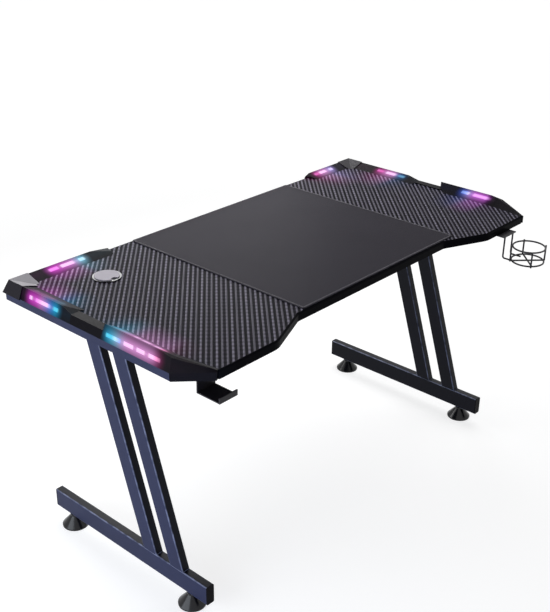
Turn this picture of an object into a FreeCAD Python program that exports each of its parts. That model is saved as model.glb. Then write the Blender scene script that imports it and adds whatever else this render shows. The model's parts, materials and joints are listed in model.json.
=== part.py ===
import FreeCAD, Part
import math
import os
from FreeCAD import Vector

# Table top: +X is the user's right, the user sits on the -Y side, the floor is Z = 0
top_width = 1400.0
top_height = 740.0
board_thick = 22.0
top_depth = 698.0
rear_edge = 348.0
recess_depth = 58.0
recess_inset = 387.0
nose_inset = 251.0
recess_radius = 18.0
nose_radius = 60.0
corner_cut_x = 51.0
corner_cut_y = 95.0
edge_bevel = 4.0

# Corner guards: section measured inward from the outer edge and upward from the table top
guard_width = 48.0
ridge_in = 10.0
rear_ridge_up = 13.0
front_ridge_up = 20.0
skirt_drop = 20.0
board_inset = 8.0
cavity_peak_in = 12.5
cavity_peak_drop = 4.5
cavity_foot = 41.0
guard_wall = 2.5
left_rear_arm = 333.0
left_side_arm = 262.0
right_rear_arm = 238.0
right_side_arm = 300.0
front_arm = 235.0
rear_end_slant_share = 0.3
side_end_slant_share = 0.0
front_end_slant_share = 0.85
left_rear_fall = 65.0
right_rear_fall = 18.0
side_fall = 40.0
front_fall = 40.0
facet_drop = 41.0
facet_end_drop = 1.0
facet_end_width = 14.0
facet_end_crest_in = 5.0
facet_end_up = 2.0
facet_screw_share = 0.3
facet_screw_in = 22.0

# Corner caps over the two rear corners
cap_thick = 5.0
cap_rise = 2.0
cap_foot = 57.0
cap_length = 66.0
cap_lean_share = 0.25

# Light lenses in both slopes of a guard, and the light strips under them
lens_clear = 0.1
outer_lens_low = -8.0
outer_lens_high = 2.0
inner_lens_near = 19.0
inner_lens_far = 31.0
left_rear_lens_start = 79.0
left_rear_lens_length = 142.0
left_side_lens_start = 98.0
left_side_lens_length = 120.0
right_rear_lens_start = 28.0
right_rear_lens_length = 94.0
right_side_lens_start = 145.0
right_side_lens_length = 111.0
front_outer_lens_start = 16.0
front_outer_lens_length = 186.0
front_inner_lens_start = 96.0
front_inner_lens_length = 118.0
strip_near = 9.6
strip_far = 19.6
strip_thick = 1.2
strip_margin = 12.0
chip_size = 5.0
chip_thick = 1.6
chip_count = 8
feed_tab_width = 8.0
feed_tab_reach = 3.0

# Edge strips and end rails between and below the guards
strip_width = 32.0
strip_crest_in = 6.0
strip_crest_up = 3.0
rail_setback = 1.5
end_rail_thick = 3.0
end_rail_drop = 41.0
end_rail_flange = 12.0
end_rail_gap = 0.2
end_rail_stop = 2.6

# Wood screws used in several places
screw_radius = 1.75
screw_hole_clear = 0.25
screw_head_radius = 3.6
screw_head_height = 2.4
boss_radius = 3.5
boss_in = 28.0
boss_bite = 4.0
guard_screw_inset = 30.0
guard_end_inset = 12.0
short_screw_bite = 13.0

# Desk mat, cut to the depth of the flat top
mat_left_inset = 413.0
mat_right_inset = 336.0
mat_edge_gap = 1.0
mat_thick = 3.0
mat_corner = 6.0

# Cable grommet at the rear left
grommet_side_inset = 210.0
grommet_rear_inset = 142.0
grommet_bore = 30.0
grommet_wall = 2.0
grommet_rim_radius = 38.0
grommet_rim_height = 3.0
grommet_depth = 20.0
grommet_seat = 1.6
grommet_cap_radius = 33.0
grommet_cap_thick = 3.4
grommet_skirt_depth = 8.0
grommet_fit = 0.08
grommet_lift = 0.3
grommet_hole_clear = 0.05
notch_radius = 10.0

# Side frames: leaning twin legs between a foot beam and a top tube
frame_inset = 67.5
tube_width = 25.0
tube_height = 56.0
tube_wall = 1.8
tube_corner = 4.0
beam_rear_inset = 31.0
beam_front_inset = 65.0
beam_bottom = 37.0
leg_depth = 47.5
leg_lean = 17.98
rear_leg_mid = 11.5
front_leg_mid = -88.0
leg_mid_height = 365.5
top_tube_rear_inset = 48.0
top_tube_front_inset = 170.0
plug_face = 2.5
plug_depth = 14.0
plug_wall = 2.0
plug_clear = 0.2

# Levelling feet under the foot beams
foot_rear_inset = 61.5
foot_front_inset = 64.5
foot_radius = 37.0
foot_rim = 4.0
foot_neck_radius = 13.0
foot_neck_height = 5.0
foot_gap = 0.3
stud_radius = 5.0
stud_top = 72.0
stud_bottom = 12.0
stud_clear = 0.05
stud_hole_clear = 0.5
nut_radius = 9.0
nut_height = 8.0
nut_fit = 0.06

# Long rails under the top, bolted between the two top tubes
rail_width = 40.0
rail_height = 25.0
rail_wall = 1.5
front_rail_inset = 230.0
rear_rail_inset = 198.0
rail_plate_width = 76.0
rail_plate_height = 50.0
rail_plate_thick = 3.0
rail_bolt_pitch = 54.0
rail_bolt_drop = 36.0
bolt_radius = 3.0
bolt_length = 16.0
bolt_clear = 0.3
bolt_head_radius = 5.5
bolt_head_height = 4.0
insert_radius = 4.8
insert_length = 9.0
insert_fit = 0.05
rail_screw_shares = (-0.92, -0.56, -0.33, 0.33, 0.66, 0.92)
tube_screw_shares = (0.1, 0.9)
top_screw_radius = 2.25
top_screw_bite = 14.0
top_screw_head_radius = 4.5
top_screw_head_height = 3.0

# Headphone hook under the front left corner
hook_side_inset = 79.0
hook_width = 58.0
hook_setback = 94.0
hook_thick = 3.0
hook_plate_length = 46.0
hook_drop = 81.0
hook_reach = 74.0
hook_lip = 15.0
hook_screw_inset_x = 14.0
hook_screw_inset_y = 20.0

# Cup holder under the front edge at the right
cup_side_inset = 160.0
cup_reach = 86.0
cup_ring_radius = 46.0
wire_radius = 2.5
weld_gap = 0.05
cup_top_drop = 21.0
cup_base_drop = 63.0
cup_plate_width = 66.0
cup_plate_thick = 3.0
cup_plate_grip = 60.0
cup_plate_reach = 22.0
cup_hanger_spread = 22.0
cup_hanger_inset = 4.0
cup_hanger_bend = 6.0
cup_hanger_past = 6.0
cup_upright_angles = (-140.0, -40.0, 45.0, 135.0)
cup_cross_angles = (45.0, 135.0)
cup_screw_pitch = 40.0
cup_screw_inset = 22.0

# Light controller under the middle of the board
box_left = 150.0
box_width = 90.0
box_setback = 120.0
box_depth = 60.0
box_height = 26.0
box_wall = 2.0
ear_length = 13.0
ear_width = 14.0
ear_thick = 3.0
ear_inset = 8.0
pcb_thick = 1.6
pcb_gap = 1.0
pcb_lift = 6.0
post_radius = 3.0
post_inset = 7.0
button_radius = 4.0
button_stand = 3.0
button_flange = 5.5
button_flange_thick = 1.6
button_tail = 3.0
button_tail_radius = 2.5
button_fit = 0.08
button_gap = 0.3
button_travel = 1.0
switch_width = 7.0
switch_depth = 6.0
switch_slack = 0.4
socket_width = 9.0
socket_height = 10.0
socket_depth = 14.0
socket_stand = 1.5
socket_bore = 2.75
socket_bore_depth = 9.0
socket_inset = 18.0
socket_gap = 0.25

# Light cables clipped under the board
cable_radius = 2.0
cable_gap = 0.2
cable_hole_clear = 1.5
cable_end_gap = 0.1
cable_corner_radius = 40.0
cable_bend_radius = 60.0
cable_rise_radius = 4.0
front_cable_offset = 27.0
rear_cable_offset = 35.0
front_cable_in = 26.0
rear_cable_in = 37.5
rear_rise_in = 24.0
rear_rise_setback = 171.0
rear_bend_lead = 40.0
clip_length = 10.0
clip_width = 20.0
clip_height = 6.0
clip_clear = 0.15
left_clip_shares = (0.11, 0.34, 0.58, 0.77)
right_clip_shares = (0.14, 0.47)

# One overrun serves all cuts, and one tolerance all comparisons
overrun = 5.0
near_enough = 0.05

board_bottom = top_height - board_thick
half_width = top_width / 2
front_edge = rear_edge - top_depth
recess_edge = front_edge + recess_depth
recess_half = half_width - recess_inset
nose_half = half_width - nose_inset
front_guard_start = front_edge + corner_cut_y + front_arm
grommet_x = -half_width + grommet_side_inset
grommet_y = rear_edge - grommet_rear_inset
frame_outer = half_width - frame_inset
beam_rear = rear_edge - beam_rear_inset
beam_front = front_edge + beam_front_inset
top_tube_rear = rear_edge - top_tube_rear_inset
top_tube_front = front_edge + top_tube_front_inset
front_rail_y = front_edge + front_rail_inset
rear_rail_y = rear_edge - rear_rail_inset
hook_left = -half_width + hook_side_inset
hook_strap_y = front_edge + hook_setback
hook_tray_height = board_bottom - hook_drop
cup_x = half_width - cup_side_inset
cup_y = front_edge - cup_reach
cup_top_height = board_bottom - cup_top_drop
cup_base_height = board_bottom - cup_base_drop
cup_plate_rear = front_edge + cup_plate_grip
box_front = front_edge + box_setback
front_cable_y = box_front + front_cable_offset
rear_cable_y = box_front + rear_cable_offset
beam_top = beam_bottom + tube_height
top_tube_bottom = board_bottom - tube_height
guard_rear = rear_edge + board_inset
rear_rise_y = guard_rear - rear_rise_setback
rear_bend_y = rear_rise_y - rear_bend_lead
frame_inner = frame_outer - tube_width
frame_mid = frame_outer - tube_width / 2
rear_reach = guard_rear + cap_thick
front_reach = -cup_y + cup_ring_radius + wire_radius
frame_shift = Vector(0, (front_reach - rear_reach) / 2, 0)
front_outer_lens = (front_outer_lens_start, front_outer_lens_start + front_outer_lens_length)
front_inner_lens = (front_inner_lens_start, front_inner_lens_start + front_inner_lens_length)
sides = {"left": -1, "right": 1}
z_axis = Vector(0, 0, 1)


def face_of(points):
    return Part.Face(Part.makePolygon(points + [points[0]]))


def prism(points, travel):
    return face_of(points).extrude(travel)


def block(x0, x1, y0, y1, z0, z1):
    return Part.makeBox(x1 - x0, y1 - y0, z1 - z0, Vector(x0, y0, z0))


def rod(start, end, radius):
    run = end - start
    return Part.makeCylinder(radius, run.Length, start, run)


def post(x, y, z0, z1, radius):
    return rod(Vector(x, y, z0), Vector(x, y, z1), radius)


def mirrored(shape):
    return shape.mirror(Vector(0, 0, 0), Vector(1, 0, 0))


def on_side(shape, side):
    """A piece drawn on the left, or its mirror image on the right."""
    return shape if side == "left" else mirrored(shape)


def joined(shapes):
    return shapes[0].fuse(shapes[1:]).removeSplitter() if shapes[1:] else shapes[0]


def save(name, *shapes):
    shape = shapes[0] if len(shapes) == 1 else Part.makeCompound(list(shapes))
    moved = shape.copy()
    moved.translate(frame_shift)
    moved.exportStep(f"parts/{name}.step")


def bend(before, corner, after, radius):
    """Start, crown and end of the arc that rounds a corner between two straight runs."""
    back = (before - corner).normalize()
    ahead = (after - corner).normalize()
    half = back.getAngle(ahead) / 2
    reach = radius / math.tan(half)
    crown = corner + (back + ahead).normalize() * (radius / math.sin(half) - radius)
    return corner + back * reach, crown, corner + ahead * reach


def rounded_outline(corners):
    """A closed flat outline from (x, y, radius) corners, with an arc at each rounded one."""
    edges = []
    ends = []
    points = [Vector(x, y, 0) for x, y, radius in corners]
    for i, (x, y, radius) in enumerate(corners):
        if radius:
            ends.append(bend(points[i - 1], points[i], points[(i + 1) % len(points)], radius))
        else:
            ends.append((points[i], None, points[i]))
    for i, (enter, crown, leave) in enumerate(ends):
        if crown:
            edges.append(Part.Arc(enter, crown, leave).toShape())
        edges.append(Part.makeLine(leave, ends[(i + 1) % len(ends)][0]))
    return Part.Face(Part.Wire(edges))


def wood_screw(x, y, seat, bite, radius=screw_radius, head=screw_head_radius, height=screw_head_height):
    """A screw driven upward: its head under the seat, its shank up to the bite above it."""
    return joined([post(x, y, seat - height, seat, head), post(x, y, seat, seat + bite, radius)])


def screw_hole(x, y, seat, bite, radius=screw_radius):
    return post(x, y, seat - overrun, seat + bite + screw_hole_clear, radius + screw_hole_clear)


# Guard arms: drawn along +X with the table to their left, then set on their edge


def set_on_edge(shape, start, end):
    run = end - start
    shape.rotate(Vector(0, 0, 0), z_axis, math.degrees(math.atan2(run.y, run.x)))
    shape.translate(Vector(start.x, start.y, top_height))
    return shape


def arm(section, start, end, start_cut, end_cut):
    """A straight length of a section; the cut shares say how far each end slants inward."""
    length = (end - start).Length
    near = min(point[0] for point in section)
    far = max(point[0] for point in section)
    low = min(point[1] for point in section) - overrun
    high = max(point[1] for point in section) + overrun
    spare = length + far
    body = prism([Vector(-spare, u, w) for u, w in section], Vector(length + 2 * spare, 0, 0))
    plan = [(start_cut * near, near), (length - end_cut * near, near),
            (length - end_cut * far, far), (start_cut * far, far)]
    slab = prism([Vector(x, u, low) for x, u in plan], Vector(0, 0, high - low))
    return set_on_edge(body.common(slab), start, end)


def arm_block(start, end, along, inward, upward):
    shape = block(along[0], along[1], inward[0], inward[1], upward[0], upward[1])
    return set_on_edge(shape, start, end)


def guard_section(ridge_up):
    return [(0, -skirt_drop), (ridge_in, ridge_up), (guard_width, 0),
            (board_inset, 0), (board_inset, -skirt_drop)]


def cavity_section(ridge_up):
    return [(board_inset, 0), (cavity_peak_in, ridge_up - cavity_peak_drop), (cavity_foot, 0)]


cap_section = [(-cap_thick, -skirt_drop), (ridge_in - cap_thick * cap_lean_share, rear_ridge_up + cap_rise),
               (cap_foot, 0), (guard_width, 0), (ridge_in, rear_ridge_up), (0, -skirt_drop)]
square_cut = 1.0
facet_angle = math.atan2(corner_cut_x, corner_cut_y)
facet_cut = math.tan(facet_angle / 2)


def along_run(start, end, distance):
    run = (end - start).normalize()
    return start + run * distance


def inward_of(start, end):
    run = (end - start).normalize()
    return Vector(-run.y, run.x, 0)


def above_fall(start, end, begin, finish, high, low, sink):
    """All that lies above a plane that falls along a run from one height to a lower one."""
    pitch = (high - low) / (finish - begin)
    top = high + overrun - sink
    spread = guard_width + corner_cut_x
    triangle = [(begin - overrun / pitch, top), (finish + overrun, top),
                (finish + overrun, low - overrun * pitch - sink)]
    wedge = prism([Vector(x, -spread, w) for x, w in triangle], Vector(0, 2 * spread, 0))
    return set_on_edge(wedge, start, end)


def lens_slots(start, end, outer_span, inner_span, clear):
    """The outer and inner window of one lit stretch of an arm."""
    outer = arm_block(start, end, (outer_span[0] + clear, outer_span[1] - clear), (-overrun, cavity_peak_in),
                      (outer_lens_low + clear, outer_lens_high - clear))
    inner = arm_block(start, end, (inner_span[0] + clear, inner_span[1] - clear),
                      (inner_lens_near + clear, inner_lens_far - clear), (clear, front_ridge_up + overrun))
    return [outer, inner]


def guard(ridge_up, runs, solids, falls, lens_spans, screw_feet):
    """A hollow guard with its lenses and screws; each run is start, end, cuts and which ends are closed."""
    outer = []
    hollow = []
    for start, end, cuts, closed in runs:
        outer.append(arm(guard_section(ridge_up), start, end, *cuts))
        inset_start = along_run(start, end, guard_wall if closed[0] else 0)
        inset_end = along_run(end, start, guard_wall if closed[1] else 0)
        hollow.append(arm(cavity_section(ridge_up), inset_start, inset_end, *cuts))
    body = joined(outer + solids)
    room = joined(hollow)
    for fall in falls:
        body = body.cut(above_fall(*fall, 0))
        room = room.cut(above_fall(*fall, guard_wall))
    shell = body.cut(room)
    lenses = []
    for number, outer_span, inner_span in lens_spans:
        start, end = runs[number][:2]
        lenses += [shell.common(slot) for slot in lens_slots(start, end, outer_span, inner_span, lens_clear)]
        shell = shell.cut(lens_slots(start, end, outer_span, inner_span, 0))
    screws = []
    for foot in screw_feet:
        boss = post(foot.x, foot.y, top_height, top_height + ridge_up, boss_radius).common(body)
        shell = joined([shell, boss])
        shell = shell.cut(screw_hole(foot.x, foot.y, board_bottom, board_thick + boss_bite))
        screws.append(wood_screw(foot.x, foot.y, board_bottom, board_thick + boss_bite))
    return shell, lenses, screws


def light_strip(corners, spans, slant, feed):
    """A strip lying on the board along the corners, with its chips and the tab that its cable meets."""
    pieces = []
    chips = []
    for number, (start, end) in enumerate(zip(corners, corners[1:])):
        length = (end - start).Length
        first = strip_margin + slant * strip_far if number == 0 else strip_near
        last = length - (strip_margin if number == len(corners) - 2 else strip_near)
        pieces.append(arm_block(start, end, (first, last), (strip_near, strip_far), (0, strip_thick)))
        low, high = max(spans[number][0], first), spans[number][1]
        pitch = (high - low) / chip_count
        edge = (strip_near + strip_far - chip_size) / 2
        for step in range(chip_count):
            place = low + pitch * step + (pitch - chip_size) / 2
            chips.append(arm_block(start, end, (place, place + chip_size), (edge, edge + chip_size),
                                   (strip_thick, strip_thick + chip_thick)))
    number, place, inward = feed
    start, end = corners[number:number + 2]
    pieces.append(arm_block(start, end, (place - feed_tab_width / 2, place + feed_tab_width / 2),
                            (strip_near, inward + feed_tab_reach), (0, strip_thick)))
    return [joined(pieces)] + chips


def rear_guard_corners(rear_arm, side_arm):
    corner = Vector(-half_width, guard_rear, 0)
    return [corner + Vector(rear_arm, 0, 0), corner, corner - Vector(0, side_arm, 0)]


def front_guard_corners():
    return [Vector(-half_width, front_guard_start, 0),
            Vector(-half_width, front_edge + corner_cut_y, 0),
            Vector(-half_width + corner_cut_x, front_edge, 0)]


def rear_guard(rear_arm, side_arm, rear_fall, rear_lens, side_lens):
    a, b, c = rear_guard_corners(rear_arm, side_arm)
    runs = [(a, b, (rear_end_slant_share, square_cut), (True, False)),
            (b, c, (square_cut, side_end_slant_share), (False, True))]
    falls = [(b, a, rear_arm - rear_fall, rear_arm, rear_ridge_up, strip_crest_up),
             (b, c, side_arm - side_fall, side_arm, rear_ridge_up, strip_crest_up)]
    rear_in = inward_of(a, b) * boss_in
    side_in = inward_of(b, c) * boss_in
    feet = [along_run(a, b, rear_lens[1] + guard_screw_inset) + rear_in,
            along_run(b, c, side_lens[0] - guard_screw_inset) + side_in,
            along_run(b, c, side_arm - guard_end_inset) + side_in]
    spans = [(0, rear_lens, rear_lens), (1, side_lens, side_lens)]
    shell, lenses, screws = guard(rear_ridge_up, runs, [], falls, spans, feet)
    feed = (1, rear_rise_setback, rear_rise_in)
    lights = light_strip([a, b, c], [rear_lens, side_lens], rear_end_slant_share, feed)
    cap = joined([arm(cap_section, along_run(b, a, cap_length), b, 0, square_cut),
                  arm(cap_section, b, along_run(b, c, cap_length), square_cut, 0)])
    return shell, cap, lenses, screws, lights


def facet(b, c, side_inward):
    """The solid corner of a front guard, from the full section at the mitre down to a low end."""
    facet_inward = inward_of(b, c)
    mitre = (side_inward + facet_inward) / (1 + side_inward.dot(facet_inward))
    full_section = [(0, -facet_drop)] + guard_section(front_ridge_up)[:-1] + [(board_inset, -facet_drop)]
    low_section = [(0, -board_thick), (0, -facet_end_drop), (facet_end_crest_in, facet_end_up),
                   (facet_end_width, 0), (board_inset, 0), (board_inset, -board_thick)]
    wires = []
    for corner, inward, section in ((b, mitre, full_section), (c, facet_inward, low_section)):
        points = [corner + inward * u + Vector(0, 0, top_height + w) for u, w in section]
        wires.append(Part.makePolygon(points + [points[0]]))
    return Part.makeLoft(wires, True, True)


def front_guard():
    a, b, c = front_guard_corners()
    side_inward = inward_of(a, b)
    runs = [(a, b, (front_end_slant_share, facet_cut), (True, True))]
    falls = [(a, b, front_arm - front_fall, front_arm + corner_cut_y, front_ridge_up, facet_end_up)]
    feet = [along_run(a, b, front_inner_lens[1] + guard_end_inset) + side_inward * boss_in,
            b + (c - b) * facet_screw_share + inward_of(b, c) * facet_screw_in]
    spans = [(0, front_outer_lens, front_inner_lens)]
    shell, lenses, screws = guard(front_ridge_up, runs, [facet(b, c, side_inward)], falls, spans, feet)
    feed = (0, front_guard_start - front_cable_y, front_cable_in)
    lit = (front_outer_lens[0], front_inner_lens[1])
    return shell, lenses, screws, light_strip([a, b], [lit], front_end_slant_share, feed)


# Board and mat


def board_outline():
    """The board as a flat outline, set back under the guards."""
    side = half_width - board_inset
    facet_length = math.hypot(corner_cut_x, corner_cut_y)
    facet_side = front_edge + corner_cut_y + board_inset * (facet_length - corner_cut_y) / corner_cut_x
    facet_front = half_width - corner_cut_x - board_inset * facet_length / corner_cut_y
    right = [(recess_half, recess_edge, recess_radius), (nose_half, front_edge, nose_radius),
             (facet_front, front_edge, 0), (side, facet_side, 0), (side, rear_edge, 0)]
    left = [(-x, y, radius) for x, y, radius in reversed(right)]
    return rounded_outline(right + left)


def bevelled_top():
    slab = board_outline().extrude(Vector(0, 0, board_thick))
    slab.translate(Vector(0, 0, board_bottom))
    rim = [edge for edge in slab.Edges
           if abs(edge.BoundBox.ZMin - top_height) < near_enough
           and abs(edge.BoundBox.ZMax - top_height) < near_enough]
    return slab.makeChamfer(edge_bevel, rim)


def desk_mat():
    x0 = -half_width + mat_left_inset
    x1 = half_width - mat_right_inset
    y0 = recess_edge + edge_bevel + mat_edge_gap
    y1 = rear_edge - edge_bevel - mat_edge_gap
    corners = [(x, y, mat_corner) for x, y in ((x0, y0), (x1, y0), (x1, y1), (x0, y1))]
    mat = rounded_outline(corners).extrude(Vector(0, 0, mat_thick))
    mat.translate(Vector(0, 0, top_height))
    return mat


# Cable grommet


def grommet():
    base = Vector(grommet_x, grommet_y, 0)
    rim_top = top_height + grommet_rim_height
    collar = grommet_bore + grommet_wall
    ring = joined([post(base.x, base.y, top_height, rim_top, grommet_rim_radius),
                   post(base.x, base.y, top_height - grommet_depth, top_height, collar)])
    ring = ring.cut(post(base.x, base.y, board_bottom, rim_top + overrun, grommet_bore))
    seat = top_height + grommet_seat
    ring = ring.cut(post(base.x, base.y, seat, rim_top + overrun, grommet_cap_radius + grommet_lift))
    under = seat + grommet_lift
    skirt = grommet_bore - grommet_fit
    cap = joined([post(base.x, base.y, under, under + grommet_cap_thick, grommet_cap_radius),
                  post(base.x, base.y, under - grommet_skirt_depth, under, skirt)])
    cap = cap.cut(post(base.x, base.y, under - grommet_skirt_depth - overrun, under, skirt - grommet_wall))
    edge = base - Vector(0, grommet_cap_radius, 0)
    cap = cap.cut(post(edge.x, edge.y, under - grommet_skirt_depth - overrun,
                       under + grommet_cap_thick + overrun, notch_radius))
    hole = post(base.x, base.y, board_bottom - overrun, top_height + overrun, collar + grommet_hole_clear)
    return ring, cap, hole


# Side frames, drawn on the left


def rounded_along_y(bar):
    """A bar with the edges that run along Y rounded."""
    return bar.makeFillet(tube_corner, [edge for edge in bar.Edges if edge.BoundBox.YLength > near_enough])


def box_tube(y0, y1, z0, z1):
    outer = rounded_along_y(block(-frame_outer, -frame_inner, y0, y1, z0, z1))
    return outer.cut(block(-frame_outer + tube_wall, -frame_inner - tube_wall, y0 - overrun, y1 + overrun,
                           z0 + tube_wall, z1 - tube_wall))


def leg(mid_y):
    """A tube that leans back as it rises, cut level where it meets the beam and the top tube."""
    lean = math.tan(math.radians(leg_lean))
    half = leg_depth / math.cos(math.radians(leg_lean)) / 2
    wall = tube_wall / math.cos(math.radians(leg_lean))

    def slanted(half_length, z0, z1, x0, x1):
        low = mid_y + (z0 - leg_mid_height) * lean
        high = mid_y + (z1 - leg_mid_height) * lean
        points = [Vector(x0, low - half_length, z0), Vector(x0, low + half_length, z0),
                  Vector(x0, high + half_length, z1), Vector(x0, high - half_length, z1)]
        return prism(points, Vector(x1 - x0, 0, 0))

    outer = slanted(half, beam_top, top_tube_bottom, -frame_outer, -frame_inner)
    slanting = [edge for edge in outer.Edges if edge.BoundBox.ZLength > near_enough]
    outer = outer.makeFillet(tube_corner, slanting)
    return outer.cut(slanted(half - wall, beam_top - overrun, top_tube_bottom + overrun,
                             -frame_outer + tube_wall, -frame_inner - tube_wall))


def tube_plug(y, outward, z0):
    """A moulded plug in a tube end: a rounded face plate and a hollow spigot."""
    x0, x1 = -frame_outer, -frame_inner
    y_face = (min(y, y + outward * plug_face), max(y, y + outward * plug_face))
    plate = rounded_along_y(block(x0, x1, y_face[0], y_face[1], z0, z0 + tube_height))
    inset = tube_wall + plug_clear
    ends = (min(y, y - outward * plug_depth), max(y, y - outward * plug_depth))
    spigot = block(x0 + inset, x1 - inset, ends[0], ends[1], z0 + inset, z0 + tube_height - inset)
    hollow = inset + plug_wall
    spigot = spigot.cut(block(x0 + hollow, x1 - hollow, ends[0] - overrun, ends[1] + overrun,
                              z0 + hollow, z0 + tube_height - hollow))
    return joined([plate, spigot])


def levelling_foot(y):
    """A foot cone, its stud, the nut in the beam and the hole in the beam's floor."""
    top = beam_bottom - foot_gap
    profile = [(0, 0), (foot_radius, 0), (foot_radius, foot_rim),
               (foot_neck_radius, top - foot_neck_height), (foot_neck_radius, top), (0, top)]
    cone = face_of([Vector(r, 0, z) for r, z in profile]).revolve(Vector(0, 0, 0), z_axis)
    cone.translate(Vector(-frame_mid, y, 0))
    cone = cone.cut(post(-frame_mid, y, stud_bottom - stud_clear, beam_bottom, stud_radius + stud_clear))
    stud = post(-frame_mid, y, stud_bottom, stud_top, stud_radius)
    floor = beam_bottom + tube_wall
    nut = post(-frame_mid, y, floor, floor + nut_height, nut_radius)
    nut = nut.cut(post(-frame_mid, y, floor - overrun, floor + nut_height + overrun, stud_radius + nut_fit))
    hole = post(-frame_mid, y, beam_bottom - overrun, floor + overrun, stud_radius + stud_hole_clear)
    return cone, stud, nut, hole


# Rails under the top


def rail(y):
    """A rail tube with its two welded end plates, and the bolts and inserts that hold it."""
    x1 = frame_inner - rail_plate_thick
    z0, z1 = board_bottom - rail_height, board_bottom
    outer = block(-x1, x1, y - rail_width / 2, y + rail_width / 2, z0, z1)
    tube = outer.cut(block(-x1 - overrun, x1 + overrun, y - rail_width / 2 + rail_wall,
                           y + rail_width / 2 - rail_wall, z0 + rail_wall, z1 - rail_wall))
    screws, holes = [], []
    for share in rail_screw_shares:
        x = frame_inner * share
        bite = rail_height + top_screw_bite
        screws.append(wood_screw(x, y, z0, bite, top_screw_radius, top_screw_head_radius,
                                 top_screw_head_height))
        holes.append(screw_hole(x, y, z0, bite, top_screw_radius))
    tube = tube.cut(holes)
    plates, bolts, inserts, wall_holes = [], [], [], []
    for sign in sides.values():
        face = sign * frame_inner
        inner = face - sign * rail_plate_thick
        plate = block(min(face, inner), max(face, inner), y - rail_plate_width / 2, y + rail_plate_width / 2,
                      z1 - rail_plate_height, z1)
        for dy in (-rail_bolt_pitch / 2, rail_bolt_pitch / 2):
            spot = Vector(inner, y + dy, z1 - rail_bolt_drop)
            out = Vector(sign, 0, 0)
            head = rod(spot - out * bolt_head_height, spot, bolt_head_radius)
            bolts.append(joined([head, rod(spot, spot + out * bolt_length, bolt_radius)]))
            plate = plate.cut(rod(spot - out * overrun, spot + out * overrun, bolt_radius + bolt_clear))
            wall = Vector(face, spot.y, spot.z) + out * tube_wall
            insert = rod(wall, wall + out * insert_length, insert_radius)
            inserts.append(insert.cut(rod(spot, spot + out * (bolt_length + overrun),
                                          bolt_radius + insert_fit)))
            wall_holes.append(rod(spot, wall + out * bolt_clear, bolt_radius + bolt_clear))
        plates.append(plate)
    return tube, plates, bolts, inserts, screws, holes, wall_holes


# Headphone hook and cup holder


def bent_wire(points, radii, thickness):
    """A round wire or cable along straight runs, with an arc at each bend."""
    edges = []
    here = points[0]
    for before, corner, after, radius in zip(points, points[1:], points[2:], radii):
        enter, crown, leave = bend(before, corner, after, radius)
        edges.append(Part.makeLine(here, enter))
        edges.append(Part.Arc(enter, crown, leave).toShape())
        here = leave
    edges.append(Part.makeLine(here, points[-1]))
    section = Part.Wire(Part.makeCircle(thickness, points[0], points[1] - points[0]))
    return Part.Wire(edges).makePipeShell([section], True, False)


def headphone_hook():
    """One bent strap: a plate under the board, a drop, a tray and a turned-up lip."""
    x0 = hook_left
    back = hook_strap_y + hook_plate_length
    tip = hook_strap_y - hook_reach
    floor = hook_tray_height
    t = hook_thick
    profile = [(back, board_bottom), (hook_strap_y - t, board_bottom), (hook_strap_y - t, floor + t),
               (tip + t, floor + t), (tip + t, floor + hook_lip), (tip, floor + hook_lip), (tip, floor),
               (hook_strap_y, floor), (hook_strap_y, board_bottom - t), (back, board_bottom - t)]
    strap = prism([Vector(x0, y, z) for y, z in profile], Vector(hook_width, 0, 0))
    screws, holes = [], []
    for x in (x0 + hook_screw_inset_x, x0 + hook_width - hook_screw_inset_x):
        y = back - hook_screw_inset_y
        screws.append(wood_screw(x, y, board_bottom - t, short_screw_bite))
        holes.append(screw_hole(x, y, board_bottom - t, short_screw_bite))
    return strap.cut(holes), screws, holes


def wire_ring(height):
    ring = Part.makeTorus(cup_ring_radius, wire_radius)
    ring.translate(Vector(cup_x, cup_y, height))
    return ring


def cup_holder():
    """A plate under the board, with two bent hangers that carry a welded wire cage in front of the edge."""
    standoff = cup_ring_radius + 2 * wire_radius + weld_gap
    plate_front = front_edge - cup_plate_reach
    z1 = board_bottom
    z0 = z1 - cup_plate_thick
    plate = block(cup_x - cup_plate_width / 2, cup_x + cup_plate_width / 2, plate_front, cup_plate_rear,
                  z0, z1)
    uprights = []
    for angle in cup_upright_angles:
        out = Vector(math.cos(math.radians(angle)), math.sin(math.radians(angle)), 0) * standoff
        uprights.append(post(cup_x + out.x, cup_y + out.y, cup_base_height - wire_radius,
                             cup_top_height + wire_radius, wire_radius))
    hanger_y = plate_front + cup_hanger_inset
    hanger_end = cup_y + math.sqrt(cup_ring_radius ** 2 - cup_hanger_spread ** 2) - cup_hanger_past
    hanger_low = cup_base_height - 2 * wire_radius - weld_gap
    hangers = []
    for x in (cup_x - cup_hanger_spread, cup_x + cup_hanger_spread):
        path = [Vector(x, hanger_y, z0 - weld_gap), Vector(x, hanger_y, hanger_low),
                Vector(x, hanger_end, hanger_low)]
        hangers.append(bent_wire(path, [cup_hanger_bend], wire_radius))
    cross = Vector(cup_ring_radius, 0, 0)
    middle = Vector(cup_x, cup_y, cup_base_height)
    base = wire_ring(cup_base_height)
    for turn in cup_cross_angles:
        arm_run = FreeCAD.Rotation(z_axis, turn).multVec(cross)
        base = base.fuse(rod(middle - arm_run, middle + arm_run, wire_radius))
    screws, holes = [], []
    for dx in (-cup_screw_pitch / 2, cup_screw_pitch / 2):
        spot = (cup_x + dx, cup_plate_rear - cup_screw_inset)
        screws.append(wood_screw(*spot, z0, short_screw_bite))
        holes.append(screw_hole(*spot, z0, short_screw_bite))
    ring = wire_ring(cup_top_height)
    return plate.cut(holes), uprights, hangers, ring, base.removeSplitter(), screws, holes


# Light controller


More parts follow.
